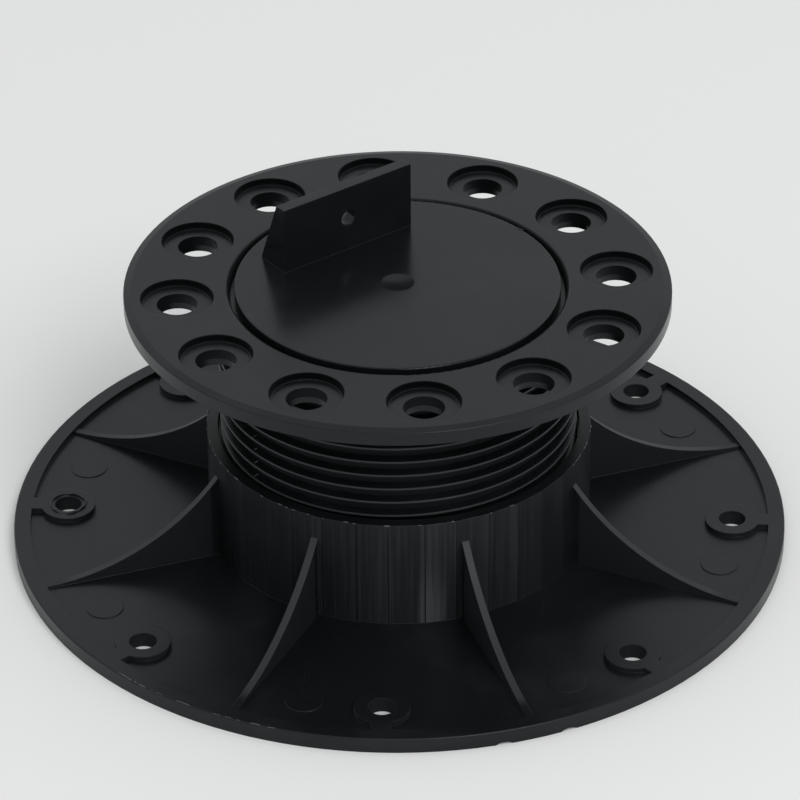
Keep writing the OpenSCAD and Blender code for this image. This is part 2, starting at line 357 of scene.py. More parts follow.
@dataclass(frozen=True)
class Strips:
    """Upright strips that the mould's inserts left round a wall, with a painted highlight and painted light
    on its front, and spans as in Traces.

    Attributes:
        count: Number of strips round the axis.
        first_deg: Heading of the first seam between two strips.
        scatter_deg: How far a seam strays from its even place.
        stray_deg: Step of the wave that this follows from seam to seam.
        inner_r: Smallest radius of the wall's outside.
        outer_r: Largest radius of the wall's outside.
        foot_z: Height of the wall's foot.
        top_z: Height of the wall's top.
        lamp_highlight_deg: Heading of the strip that is paled most, a painted highlight of the lamp on the
            flats that face it.
        lamp_highlight_span: Angles from it, in radians, for that painted highlight.
        lamp_highlight_z: Heights at which the painted highlight is least and full.
        lamp_highlight_least: Share of the painted highlight that is left at the top.
        front_light_span: Angles from it, in radians, for the broader painted light on the wall's front round
            it.
        front_light_pale: Paleness of that painted light.
        drag_turn: Change of the drag marks, per radian.
        drag_rise: Change of the drag marks, per metre of height.
        drag_span: Noise for a pale drag mark.
        drag_pale: Paleness of the drag marks.
        drag_high: Height of the drag marks, in fine grains.
        break_span: Noise for breaks in the painted highlight.
        break_least: Share of the painted highlight that a break leaves.
        lean_power: How steeply a strip pales towards its far side.
        lean_pale: Paleness at its far side.
        seam_span: Distances from a seam.
        seam_deep: Depth of a seam, in fine grains.
    """

    count: int = 36
    first_deg: float = 7.1
    scatter_deg: float = 0.4
    stray_deg: float = 149.0
    inner_r: float = 48.8 * MM
    outer_r: float = 50.5 * MM
    foot_z: float = 2.9 * MM
    top_z: float = 32.7 * MM
    lamp_highlight_deg: float = -80.5
    lamp_highlight_span: Pair = (0.10, 0.03)
    lamp_highlight_z: Pair = (24 * MM, 4 * MM)
    lamp_highlight_least: float = 0.3
    front_light_span: Pair = (0.95, 0.15)
    front_light_pale: float = 0.15
    drag_turn: float = 60.0
    drag_rise: float = 22.0
    drag_span: Pair = (0.42, 0.75)
    drag_pale: float = 0.08
    drag_high: float = 1.2
    break_span: Pair = (0.25, 0.7)
    break_least: float = 0.4
    lean_power: float = 2.5
    lean_pale: float = 0.14
    seam_span: Pair = (0.24 * MM, 0.08 * MM)
    seam_deep: float = 9.0


@dataclass(frozen=True)
class WallBand:
    """Upright walls between two radii that differ from the rest of the skin, with a paleness of their own
    that stands for painted shade in holes and recesses and for painted light on the ribs' sides and the
    thread's crest.

    The radii are taken from the axis, or from the nearest of several holes in a ring.

    Attributes:
        inner_r: Smallest distance of the walls.
        outer_r: Largest distance of the walls.
        foot_z: Smallest height of the walls.
        draft: Tangent of their lean, positive where they look up.
        flat: Upright part of the normal from which a face is no wall any more.
        fade: Change of that part over which a wall turns into a flat face.
        dull: How much rougher they are.
        pale: How much of the paler colour they show in place of the rest; none is painted shade, more is
            painted light.
        holes: Number of holes in the ring, 0 for the axis.
        ring_r: Distance of the holes from the axis.
        first_deg: Heading of the first hole.
    """

    inner_r: float
    outer_r: float
    foot_z: float
    draft: float = 0.0
    flat: float = 0.5
    fade: float = 0.25
    dull: float = 0.3
    pale: float = 0.0
    holes: int = 0
    ring_r: float = 0.0
    first_deg: float = 0.0


@dataclass(frozen=True)
class Traces:
    """How strongly moulding, use and painted light show on the plastic.

    Paleness is a share of the plastic's paler colour, which also carries painted light, and a span is where a
    trace begins and where it is full.

    Attributes:
        cloud_grain: Change of the cloudy patches, per metre.
        cloud_span: Noise for a pale patch.
        cloud_pale: Paleness of a patch.
        gloss_span: Noise over which the roughness drifts.
        edge_span: Cosine of the rounded normal's turn at an edge.
        edge_free_r: How far round an edge other faces are looked for.
        edge_free: Open share of that space at an outward edge.
        edge_highlight_pale: Paleness of an outward edge, a painted highlight.
        dust_grain: Places in each metre that may hold a speck of dust.
        dust_pick: Chance for a place to be chosen.
        dust_size: Distances from a speck's middle, in places.
        dust_pale: Paleness of a speck.
        bend_grain: How quickly scratches bend, per metre.
        bend: How far they bend.
        scratch_sets: Turn of each set of scratches, and its change along each axis.
        scratch_span: Noise for a scratch.
        scratch_up: Upright part of the normal for a scratched face.
        scratch_pale: Paleness of a scratch.
        scratch_rough: What a scratch adds to the roughness.
        scratch_deep: Depth of a scratch, in fine grains.
        slope_r: Reach of the outward slopes, such as the ribs' tops, that are paled as painted light.
        slope_span: Outward and upright parts of the normal for such a slope.
        slope_light_pale: Paleness of such a slope, painted light.
        slope_rough: What such a slope adds to the roughness.
        strip_rough: What a strip at its palest adds to the roughness.
    """

    cloud_grain: float = 34.0
    cloud_span: Pair = (0.45, 0.75)
    cloud_pale: float = 0.08
    gloss_span: Pair = (0.32, 0.68)
    edge_span: Pair = (0.995, 0.86)
    edge_free_r: float = 1.2 * MM
    edge_free: Pair = (0.80, 0.97)
    edge_highlight_pale: float = 0.12
    dust_grain: float = 190.0
    dust_pick: Pair = (0.80, 0.82)
    dust_size: Pair = (0.045, 0.020)
    dust_pale: float = 0.35
    bend_grain: float = 22.0
    bend: Triple = (0.03, 0.03, 0.0)
    scratch_sets: tuple[tuple[float, Triple], ...] = ((0.6, (22.0, 800.0, 1.0)), (-0.9, (700.0, 16.0, 1.0)))
    scratch_span: Pair = (0.71, 0.77)
    scratch_up: Pair = (0.85, 0.98)
    scratch_pale: float = 0.05
    scratch_rough: float = 0.03
    scratch_deep: float = 0.15
    slope_r: float = 97.0 * MM
    slope_span: Pair = (0.06, 0.16)
    slope_light_pale: float = 0.36
    slope_rough: float = 0.20
    strip_rough: float = 0.25


@dataclass(frozen=True)
class MouldedPlastic:
    """Black moulded plastic with a satin skin.

    Attributes:
        name: Name of the material.
        grain: How the mould left the surface.
        colour: Linear colour of the plastic.
        wear_and_light_colour: Linear colour where the skin is rubbed or dusty, and where light is painted as
            paleness.
        sheen: Tint of what the skin reflects.
        ior: Refractive index of the skin.
        roughness: Middle roughness of the skin.
        cloud: How far the roughness drifts from place to place.
        edge_r: Rounding that the edges seem to have.
        grain_size: Size of the fine grain.
        grain_height: Height of the fine grain.
        grain_strength: How strongly the fine grain shows.
        traces: What moulding and use left, and the painted light on edges and slopes.
        strips: The wall that the drawn grain covers.
        bands: Walls that differ from the rest.
    """

    name: str
    grain: Grain = Grain.SATIN
    colour: Triple = (0.0056, 0.0062, 0.0068)
    wear_and_light_colour: Triple = (0.068, 0.072, 0.076)
    sheen: tuple[float, float, float, float] = (0.90, 0.95, 1.0, 1.0)
    ior: float = 1.36
    roughness: float = 0.30
    cloud: float = 0.045
    edge_r: float = 0.28 * MM
    grain_size: float = 0.42 * MM
    grain_height: float = 0.010 * MM
    grain_strength: float = 0.5
    traces: Traces = field(default_factory=Traces)
    strips: Strips = field(default_factory=Strips)
    bands: tuple[WallBand, ...] = ()


class PaintSheet(NodeSheet):
    """The nodes of a new material."""

    def __init__(self, name: str) -> None:
        """Starts a material without a shader.

        Args:
            name: The material's name.
        """
        self.made = bpy.data.materials.new(name)
        self.made.use_nodes = True
        super().__init__(self.made.node_tree)
        self.tree.nodes.clear()
        self.place = self.out("ShaderNodeTexCoord", output="Object")

    def noise(
        self, place: Socket, scale: float, detail: float, rough: float = 0.5, output: int | str = 0
    ) -> Socket:
        """Adds smooth noise, with the number and the strength of its finer layers."""
        settings = {"Vector": place, "Scale": scale, "Detail": detail, "Roughness": rough}
        return self.out("ShaderNodeTexNoise", settings, output)

    def coat(self, inputs: dict) -> Material:
        """Ends the nodes with one shader.

        Args:
            inputs: The shader's inputs, as for add.

        Returns:
            The finished material.
        """
        skin = self.out("ShaderNodeBsdfPrincipled", inputs)
        self.add("ShaderNodeOutputMaterial", {"Surface": skin})
        return self.made


class PlasticSheet(PaintSheet):
    """The nodes of a moulded plastic."""

    def __init__(self, finish: MouldedPlastic) -> None:
        """Starts with what the traces need to know of a point on the surface.

        Args:
            finish: The plastic to draw.
        """
        super().__init__(finish.name)
        self.finish = finish
        self.traces = finish.traces
        self.edge = self.out("ShaderNodeBevel", {"Radius": finish.edge_r}, samples=4)
        self.normal = self.out("ShaderNodeNewGeometry", output="Normal")
        self.upright = self.vector("DOT_PRODUCT", self.normal, UP)
        self.axes = self.split(self.place)
        self.level = self.vector("MULTIPLY", self.place, LEVEL)
        self.reach = self.vector("LENGTH", self.level)
        self.heading = self.math("ARCTAN2", self.axes[1], self.axes[0])

    def draw(self) -> Material:
        """Draws the whole skin.

        Returns:
            The finished material.
        """
        finish, marks = self.finish, self.traces
        scratches = self.scratches()
        fine = self.noise(self.place, 1 / finish.grain_size, detail=2.0)
        drift = self.noise(self.place, marks.cloud_grain, detail=4.0, rough=0.6)
        pale = self.most(
            self.times(self.ease(drift, *marks.cloud_span), marks.cloud_pale),
            # Outward edges, paled as a painted highlight.
            self.times(self.edge_highlight(), marks.edge_highlight_pale),
            self.times(self.dust(), marks.dust_pale),
            self.times(scratches, marks.scratch_pale),
        )
        gloss = (finish.roughness - finish.cloud, finish.roughness + finish.cloud)
        rough = self.ease(drift, *marks.gloss_span, *gloss)
        rough = self.plus(rough, self.times(scratches, marks.scratch_rough))
        height = self.minus(fine, self.times(scratches, marks.scratch_deep))
        if finish.grain is Grain.DRAWN:
            # The collar's strips carry drag marks, and a painted highlight and painted light on the side that
            # faces the lamp.
            tone, relief = self.drawn_wall()
            # The ribs' tops and other outward slopes are paled as painted light.
            lit_slope = self.painted_light_slopes()
            pale = self.most(pale, tone, self.times(lit_slope, marks.slope_light_pale))
            rough = self.plus(rough, self.times(tone, marks.strip_rough), self.times(lit_slope, marks.slope_rough))
            height = self.plus(height, relief)
        edge = self.edge
        for band in finish.bands:
            walls = self.band_walls(band)
            # A band's own paleness takes the place of the rest: painted shade on hole and recess walls,
            # painted light on the ribs' sides and the thread's crest.
            pale = self.plus(self.times(pale, self.minus(1.0, walls)), self.times(walls, band.pale))
            rough = self.plus(rough, self.times(walls, band.dull))
            lean = self.combine(z=self.times(walls, band.draft))
            edge = self.vector("NORMALIZE", self.vector("ADD", edge, lean))
        grain = {"Strength": finish.grain_strength, "Distance": finish.grain_height}
        bump = self.out("ShaderNodeBump", {**grain, "Height": height, "Normal": edge})
        coat = {"Base Color": self.mix_colour(pale), "Roughness": rough, "Normal": bump}
        return self.coat({**coat, "IOR": finish.ior, "Specular Tint": finish.sheen})

    def mix_colour(self, share: Socket) -> Socket:
        """Mixes the plain colour with the paler one of dust, wear and painted light.

        Args:
            share: How much of the paler colour shows.

        Returns:
            The colour's socket.
        """
        ramp = self.add("ShaderNodeValToRGB", {0: share})
        ramp.color_ramp.elements[0].color = (*self.finish.colour, 1.0)
        ramp.color_ramp.elements[1].color = (*self.finish.wear_and_light_colour, 1.0)
        return ramp.outputs[0]

    def edge_highlight(self) -> Socket:
        """Finds the outward edges, which are paled as a painted highlight.

        Returns:
            A socket from 0 on a face to 1 on an edge.
        """
        marks = self.traces
        turned = self.ease(self.vector("DOT_PRODUCT", self.edge, self.normal), *marks.edge_span)
        around = {"Distance": marks.edge_free_r}
        free = self.out("ShaderNodeAmbientOcclusion", around, "AO", samples=4, only_local=True)
        return self.times(turned, self.ease(free, *marks.edge_free))

    def dust(self) -> Socket:
        """Scatters dust specks.

        Returns:
            A socket that is 1 on a speck.
        """
        marks = self.traces
        cells = self.add("ShaderNodeTexVoronoi", {"Vector": self.place, "Scale": marks.dust_grain}).outputs
        chance = self.vector("DOT_PRODUCT", cells["Color"], (1.0, 0.0, 0.0))
        chosen = self.ease(chance, *marks.dust_pick)
        return self.times(chosen, self.ease(cells["Distance"], *marks.dust_size))

    def scratches(self) -> Socket:
        """Draws fine bent scratches on the faces that look up.

        Returns:
            A socket that is 1 in a scratch.
        """
        marks = self.traces
        shift = self.noise(self.place, marks.bend_grain, detail=1.0, output="Color")
        bent = self.vector("MULTIPLY_ADD", shift, marks.bend, self.place)
        lines = []
        for angle, scale in marks.scratch_sets:
            settings = {"Vector": bent, "Rotation": (0.0, 0.0, angle), "Scale": scale}
            drawn = self.noise(self.out("ShaderNodeMapping", settings), 1.0, detail=1.0)
            lines.append(self.ease(drawn, *marks.scratch_span))
        return self.times(self.most(*lines), self.ease(self.upright, *marks.scratch_up))

    def band_walls(self, band: WallBand) -> Socket:
        """Finds the upright walls of a band.

        Args:
            band: The band.

        Returns:
            A socket that is 1 on such a wall.
        """
        reach = self.hole_reach(band) if band.holes else self.reach
        ring = self.within(reach, band.inner_r, band.outer_r)
        above = self.math("GREATER_THAN", self.axes[2], band.foot_z)
        tilt = self.math("ABSOLUTE", self.upright)
        return self.times(ring, above, self.ease(tilt, band.flat, band.flat - band.fade))

    def hole_reach(self, band: WallBand) -> Socket:
        """Measures how far a point is from the middle of the nearest hole in a ring.

        Args:
            band: The band that names the ring.

        Returns:
            The distance's socket.
        """
        step = math.tau / band.holes
        turns = self.math("DIVIDE", self.minus(self.heading, math.radians(band.first_deg)), step)
        aside = self.times(self.minus(turns, self.math("ROUND", turns)), step)
        across = self.times(self.reach, self.math("SINE", aside))
        along = self.minus(self.times(self.reach, self.math("COSINE", aside)), band.ring_r)
        return self.vector("LENGTH", self.combine(along, across))

    def painted_light_slopes(self) -> Socket:
        """Finds the faces that slope outwards and up inside the rim, such as the ribs' tops, which are paled
        as painted light and made rougher.

        Returns:
            A socket that is 1 on such a slope.
        """
        marks = self.traces
        outward = self.vector("DOT_PRODUCT", self.normal, self.vector("NORMALIZE", self.level))
        leaning = self.ease(outward, *marks.slope_span)
        rising = self.ease(self.upright, *marks.slope_span)
        return self.times(leaning, rising, self.math("LESS_THAN", self.reach, marks.slope_r))

    def drawn_wall(self) -> tuple[Socket, Socket]:
        """Draws the upright strips and drag marks of a wall round the axis, and the painted highlight and
        painted light on its front.

        Returns:
            How pale the wall is, painted highlight and light included, and the height to add to the bump.
        """
        wall = self.finish.strips
        rise = self.axes[2]
        around = self.within(self.reach, wall.inner_r, wall.outer_r)
        inside = self.times(around, self.within(rise, wall.foot_z, wall.top_z))
        step = math.tau / wall.count
        strip = self.math("DIVIDE", self.minus(self.heading, math.radians(wall.first_deg)), step)
        cell = self.math("FLOOR", strip)
        chance = self.out("ShaderNodeTexWhiteNoise", {"W": cell}, noise_dimensions="1D")
        lean = self.times(self.math("POWER", self.minus(strip, cell), wall.lean_power), chance)
        drawn = self.combine(self.times(self.heading, wall.drag_turn), z=self.times(rise, wall.drag_rise))
        drag = self.noise(drawn, 1.0, detail=3.0, rough=0.6)
        # Painted highlight of the lamp on the strip that faces it, fullest at the foot, and a broader painted
        # light round it on the front.
        away = self.math("ABSOLUTE", self.minus(self.heading, math.radians(wall.lamp_highlight_deg)))
        low = self.ease(rise, *wall.lamp_highlight_z, wall.lamp_highlight_least)
        painted_light = self.times(self.ease(away, *wall.lamp_highlight_span), low)
        painted_light = self.most(painted_light, self.ease(away, *wall.front_light_span, 0.0, wall.front_light_pale))
        tone = self.plus(
            self.times(self.ease(drag, *wall.drag_span), wall.drag_pale),
            self.times(lean, wall.lean_pale),
            self.times(painted_light, self.ease(drag, *wall.break_span, wall.break_least)),
        )
        seam = self.seam_lines(strip)
        relief = self.minus(self.times(drag, wall.drag_high), self.times(seam, wall.seam_deep))
        return self.times(tone, self.minus(1.0, seam), inside), self.times(relief, inside)

    def seam_lines(self, strip: Socket) -> Socket:
        """Finds the seams between the strips, each a little off its even place.

        Args:
            strip: The heading, counted in strips from the first seam.

        Returns:
            A socket that is 1 in a seam.
        """
        wall = self.finish.strips
        nearest = self.math("ROUND", strip)
        number = self.math("FLOORED_MODULO", nearest, wall.count)
        wave = self.math("SINE", self.times(number, math.radians(wall.stray_deg)))
        stray = self.times(wave, wall.scatter_deg * wall.count / 360)
        gap = self.math("ABSOLUTE", self.minus(strip, nearest, stray))
        return self.ease(self.times(gap, math.tau / wall.count, self.reach), *wall.seam_span)


@dataclass
class Moulding:
    """One of the pedestal's three mouldings.

    Attributes:
        node: Name of its solid.
        body: The body that its pieces ride on.
        finish: Its plastic.
    """

    node: str
    body: Body
    finish: MouldedPlastic

    def dress(self) -> Material:
        """Gives the solid its finish.

        Returns:
            The material, for the pieces that go with the solid.
        """
        material = PlasticSheet(self.finish).draw()
        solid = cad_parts[self.node]
        solid.data.materials.clear()
        solid.data.materials.append(material)
        log.info("%s is dressed in %s", self.node, material.name)
        return material

    def seat(self, *pieces: Piece) -> None:
        """Makes pieces move with the moulding.

        Args:
            *pieces: The pieces to seat.
        """
        for piece in pieces:
            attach(piece, self.body.value)


@dataclass
class BaseMoulding(Moulding):
    """Ribbed base with its collar.

    Attributes:
        flash: Plastic of the torn flash, which strain has paled.
        collar_r: Radius of the collar's outside.
        collar_z: Height of the collar's top.
        burr_places: Places for burrs round the collar's mouth.
        burr_lift: How far the burrs' middles lie above the collar.
        burr_ripple: How far they stray from the edge.
        burrs: The burrs.
        boss_r: Distance of the screw bosses from the axis.
        boss_z: Height of the bosses' tops.
        torn_boss_deg: Heading of the boss whose hole has a torn lip.
        lip_r: Radius of that lip.
        lip_t: Half its thickness.
        lip_lift: How far its middle lies above the boss.
        lip_ripple: Its unevenness.
        rim_r: Radius of the rim's outer edge.
        rim_z: Height of that edge.
        rim_flash_deg: Headings between which flash is left on the rim.
        rim_places: Places for slivers of that flash.
        rim_ripple: How far they stray from the edge.
        slivers: The slivers.
    """

    flash: MouldedPlastic
    collar_r: float = 50.05 * MM
    collar_z: float = 32.8 * MM
    burr_places: int = 150
    burr_lift: float = 0.06 * MM
    burr_ripple: Ripple = Ripple(0.5 * MM, 900.0, 3.0)
    burrs: FlakeKind = FlakeKind(
        (0.09 * MM, 0.20 * MM, 0.08 * MM), (0.22 * MM, 1.10 * MM, 0.24 * MM), keep=0.4, seed=7
    )
    boss_r: float = BOSS_RING_R
    boss_z: float = 4.1 * MM
    torn_boss_deg: float = 177.0
    lip_r: float = 4.6 * MM
    lip_t: float = 0.25 * MM
    lip_lift: float = 0.12 * MM
    lip_ripple: Ripple = Ripple(1.1 * MM, 420.0, 4.0)
    rim_r: float = 101.2 * MM
    rim_z: float = 4.05 * MM
    rim_flash_deg: Pair = (-134.0, -108.0)
    rim_places: int = 44
    rim_ripple: Ripple = Ripple(0.4 * MM, 700.0, 6.0)
    slivers: FlakeKind = FlakeKind(
        (0.06 * MM, 0.25 * MM, 0.05 * MM), (0.14 * MM, 1.50 * MM, 0.12 * MM), keep=0.55, seed=17
    )

    def build(self) -> None:
        """Dresses the base and adds burrs at the collar's mouth, at one boss and on the rim."""
        material = self.dress()
        glint_flash = PlasticSheet(self.flash).draw()
        self.seat(self.build_burrs(glint_flash), self.build_torn_lip(material), self.build_rim_flash(glint_flash))

    def build_burrs(self, material: Material) -> Piece:
        """Grows specks of flash along the collar's upper edge.

        Args:
            material: The flash's plastic.

        Returns:
            The burrs as one piece.
        """
        tree = GrowthTree("collar_burrs")
        radius = tree.size("Collar Radius", self.collar_r)
        places = tree.size("Places", self.burr_places)
        ring = tree.out("GeometryNodeMeshCircle", {"Vertices": places, "Radius": radius})
        specks = tree.flakes(tree.wobble(ring, self.burr_ripple), self.burrs, tree.facing())
        return tree.grow(tree.moved(specks, (0.0, 0.0, self.collar_z + self.burr_lift)), material)

    def build_torn_lip(self, material: Material) -> Piece:
        """Grows the thin torn lip round one boss's hole.

        Args:
            material: The base's plastic.

        Returns:
            The lip as one piece.
        """
        tree = GrowthTree("torn_lip")
        radius = tree.size("Lip Radius", self.lip_r)
        thick = tree.size("Lip Thickness", self.lip_t)
        ring = tree.wobble(tree.circle(radius, 96), self.lip_ripple)
        tube = tree.sweep(ring, tree.circle(thick, 8))
        heading = math.radians(self.torn_boss_deg)
        across, along = self.boss_r * math.cos(heading), self.boss_r * math.sin(heading)
        return tree.grow(tree.moved(tube, (across, along, self.boss_z + self.lip_lift)), material)

    def build_rim_flash(self, material: Material) -> Piece:
        """Grows the broken line of flash along a stretch of the rim's outer edge.

        Args:
            material: The flash's plastic.

        Returns:
            The flash as one piece.
        """
        tree = GrowthTree("rim_flash")
        radius = tree.size("Rim Radius", self.rim_r)
        places = tree.size("Places", self.rim_places)
        first, last = (math.radians(heading) for heading in self.rim_flash_deg)
        stretch = {"Radius": radius, "Start Angle": first, "Sweep Angle": last - first}
        arc = tree.out("GeometryNodeCurveArc", stretch, mode="RADIUS")
        points = tree.out("GeometryNodeCurveToPoints", {"Curve": arc, "Count": places}, mode="COUNT")
        slivers = tree.flakes(tree.wobble(points, self.rim_ripple), self.slivers, tree.facing())
        return tree.grow(tree.moved(slivers, (0.0, 0.0, self.rim_z)), material)


@dataclass
class HeadMoulding(Moulding):
    """Flanged head on its threaded stem.

    Attributes:
        flash: Plastic of the torn flash, paled as painted glints on its flakes and by strain whitening.
        ridge_in: Radius of the ridge's foot, inside the stem.
        ridge_out: Radius of the ridge's crest.
        foot_w: Width of the ridge at its foot.
        crest_w: Width of the ridge at its crest.
        corner_r: Rounding of the crest's corners.
        pitch: Rise of the thread for each turn.
        turns: Number of turns.
        first_z: Height of the ridge's middle at its start.
        start_deg: Heading of its start.
        steps: Points in each turn.
        ridge_ripple: Unevenness of the ridge.
        parting_deg: Headings of the mould's parting lines.
        flash_from: Number of the first turn whose flash is left.
        flash_in: How far inside the crest the flash lies.
        flash_up: How far above the ridge's middle it lies, within the thread's clearance.
        tilt: Smallest and largest turns of its flakes.
        flakes: Its flakes.
    """

    flash: MouldedPlastic
    ridge_in: float = 43.9 * MM
    ridge_out: float = 46.4 * MM
    foot_w: float = 1.75 * MM
    crest_w: float = 0.65 * MM
    corner_r: float = 0.2 * MM
    pitch: float = 4.0 * MM
    turns: int = 12
    first_z: float = 19.4 * MM
    start_deg: float = 90.0
    steps: int = 144
    ridge_ripple: Ripple = Ripple(0.05 * MM, 260.0, 5.0)
    parting_deg: Pair = (-143.6, 36.4)
    flash_from: int = 3
    flash_in: float = 1.2 * MM
    flash_up: float = 0.6 * MM
    tilt: tuple[Triple, Triple] = ((-0.2, 0.15, -0.3), (0.2, 0.25, 0.3))
    flakes: FlakeKind = FlakeKind(
        (0.3 * MM, 0.10 * MM, 0.06 * MM), (1.0 * MM, 0.20 * MM, 0.13 * MM), keep=0.6, seed=11
    )

    def build(self) -> None:
        """Dresses the head and adds the fine thread and the flash on it."""
        material = self.dress()
        self.seat(self.build_ridge(material), self.build_flash(PlasticSheet(self.flash).draw()))

    def build_ridge(self, material: Material) -> Piece:
        """Grows the thread's ridge along its helix, with rounded crest corners.

        Args:
            material: The head's plastic.

        Returns:
            The ridge as one piece.
        """
        tree = GrowthTree("thread_ridge")
        inner = tree.size("Foot Radius", self.ridge_in)
        outer = tree.size("Crest Radius", self.ridge_out)
        foot = tree.size("Foot Width", self.foot_w)
        crest = tree.size("Crest Width", self.crest_w)
        corner = tree.size("Corner Radius", self.corner_r)
        pitch = tree.size("Pitch", self.pitch)
        turns = tree.size("Turns", float(self.turns))
        steps = tree.size("Steps", self.steps)
        middle = tree.times(tree.plus(inner, outer), 0.5)
        helix = {"Resolution": steps, "Rotations": turns, "Height": tree.times(pitch, turns)}
        radii = {"Start Radius": middle, "End Radius": middle, "Reverse": True}
        path = tree.out("GeometryNodeCurveSpiral", {**helix, **radii})
        path = tree.out("GeometryNodeSetCurveNormal", {"Curve": path}, mode="Z_UP")
        depth = tree.minus(outer, inner)
        section = {"Height": depth, "Bottom Width": foot, "Top Width": crest, "Offset": 0.0}
        profile = tree.out("GeometryNodeCurvePrimitiveQuadrilateral", section, mode="TRAPEZOID")
        profile = tree.moved(profile, turn=(0.0, 0.0, -math.pi / 2))
        rounding = {"Curve": profile, "Count": 4, "Radius": corner}
        profile = tree.out("GeometryNodeFilletCurve", rounding, mode="POLY")
        ridge = tree.wobble(tree.sweep(path, profile), self.ridge_ripple)
        start = (0.0, 0.0, math.radians(self.start_deg))
        return tree.grow(tree.moved(ridge, (0.0, 0.0, self.first_z), start), material)

    def build_flash(self, material: Material) -> Piece:
        """Grows flakes of flash where the ridge crosses the mould's parting lines.

        Args:
            material: The flash's plastic.

        Returns:
            The flakes as one piece.
        """
        tree = GrowthTree("parting_flash")
        outer = tree.size("Crest Radius", self.ridge_out)
        pitch = tree.size("Pitch", self.pitch)
        count = tree.size("Turns", self.turns - self.flash_from - 1)
        seed = tree.size("Flake Seed", self.flakes.seed)
        rows = []
        for heading in self.parting_deg:
            turn = ((heading - self.start_deg) % 360) / 360 + self.flash_from
            rise = self.first_z + self.pitch * turn
            flank = tree.combine(tree.minus(outer, self.flash_in), z=rise + self.flash_up)
            column = {"Count": count, "Start Location": flank, "Offset": tree.combine(z=pitch)}
            line = tree.out("GeometryNodeMeshLine", column, mode="OFFSET")
            row = tree.flakes(line, self.flakes, tree.scatter(*self.tilt, seed))
            rows.append(tree.moved(row, turn=(0.0, 0.0, math.radians(heading))))
        return tree.grow(tree.join(*rows), material)


@dataclass
class DiscMoulding(Moulding):
    """Turning disc with its fin.

    Attributes:
        top_z: Height of the disc's top.
        line_from: Start of the witness line from the gusset's foot to the disc's edge.
        line_to: End of that line.
        line_t: Half the line's thickness.
        line_points: Points along the line.
        line_ripple: Unevenness of the line.
        nick: Place of the burr on the disc's edge.
        nick_step: From the burr's first flake to its second.
        nick_turn: Rotation of its flakes.
        burr: Its flakes.
    """

    top_z: float = 74.5 * MM
    line_from: Pair = (-35.7 * MM, 13.1 * MM)
    line_to: Pair = (-37.9 * MM, 17.0 * MM)
    line_t: float = 0.09 * MM
    line_points: int = 24
    line_ripple: Ripple = Ripple(0.12 * MM, 900.0, 3.0)
    nick: Pair = (32.3 * MM, 26.1 * MM)
    nick_step: Triple = (-0.5 * MM, 0.6 * MM, 0.0)
    nick_turn: Triple = (0.0, 0.0, 0.6)
    burr: FlakeKind = FlakeKind(
        (0.3 * MM, 0.25 * MM, 0.12 * MM), (0.7 * MM, 0.5 * MM, 0.25 * MM), keep=1.0, seed=3
    )

    def build(self) -> None:
        """Dresses the disc and adds its witness line and burr."""
        self.seat(self.build_witness(self.dress()))

    def build_witness(self, material: Material) -> Piece:
        """Grows the fine line that a mould insert left, and a burr on the edge.

        Args:
            material: The disc's plastic.

        Returns:
            Both as one piece.
        """
        tree = GrowthTree("disc_witness")
        thick = tree.size("Line Thickness", self.line_t)
        points = tree.size("Line Points", self.line_points)
        ends = {"Start": (*self.line_from, self.top_z), "End": (*self.line_to, self.top_z)}
        line = tree.out("GeometryNodeCurvePrimitiveLine", ends, mode="POINTS")
        line = tree.out("GeometryNodeResampleCurve", {"Curve": line, "Count": points}, mode="COUNT")
        tube = tree.sweep(tree.wobble(line, self.line_ripple), tree.circle(thick, 8))
        pair = {"Count": 2, "Start Location": (*self.nick, self.top_z), "Offset": self.nick_step}
        spots = tree.out("GeometryNodeMeshLine", pair, mode="OFFSET")
        return tree.grow(tree.join(tube, tree.flakes(spots, self.burr, self.nick_turn)), material)


@dataclass(frozen=True)
class FloorPaint:
    """Matt pale paint of the studio's floor.

    Attributes:
        name: Name of the material.
        colour: Linear colour.
        roughness: Roughness of the paint.
        grain: How quickly its fine grain changes, per metre.
        grain_height: Height of that grain.
        grain_strength: How strongly it shows.
    """

    name: str = "pale_floor"
    colour: Triple = (0.87, 0.87, 0.87)
    roughness: float = 0.75
    grain: float = 700.0
    grain_height: float = 0.02 * MM
    grain_strength: float = 0.1

    def material(self) -> Material:
        """Builds the material.

        Returns:
            The finished material.
        """
        sheet = PaintSheet(self.name)
        fine = sheet.noise(sheet.place, self.grain, detail=2.0)
        grain = {"Strength": self.grain_strength, "Distance": self.grain_height, "Height": fine}
        bump = sheet.out("ShaderNodeBump", grain)
        return sheet.coat({"Base Color": (*self.colour, 1.0), "Roughness": self.roughness, "Normal": bump})


@dataclass(frozen=True)
class SoftBox:
    """A rectangular area lamp that looks at the pedestal.

    Attributes:
        name: Name of the lamp.
        heading_deg: Its heading round the axis.
        elevation_deg: Its height above the horizon.
        distance: From the pedestal to the lamp.
        width: Length of its level side.
        height: Length of its other side.
        watts: Its power.
    """

    name: str
    heading_deg: float
    elevation_deg: float
    distance: float
    width: float
    height: float
    watts: float

    def build(self) -> None:
        """Hangs the lamp."""
        lamp = bpy.data.lights.new(self.name, "AREA")
        lamp.shape = "RECTANGLE"
        lamp.size = self.width
        lamp.size_y = self.height
        lamp.energy = self.watts
        holder = add_object(self.name, lamp)
        turn, rise = math.radians(self.heading_deg), math.radians(self.elevation_deg)
        level = math.cos(rise)
        out = Vector((level * math.cos(turn), level * math.sin(turn), math.sin(rise)))
        holder.location = out * self.distance
        holder.rotation_mode = "QUATERNION"
        holder.rotation_quaternion = (-out).to_track_quat("-Z", "Y")


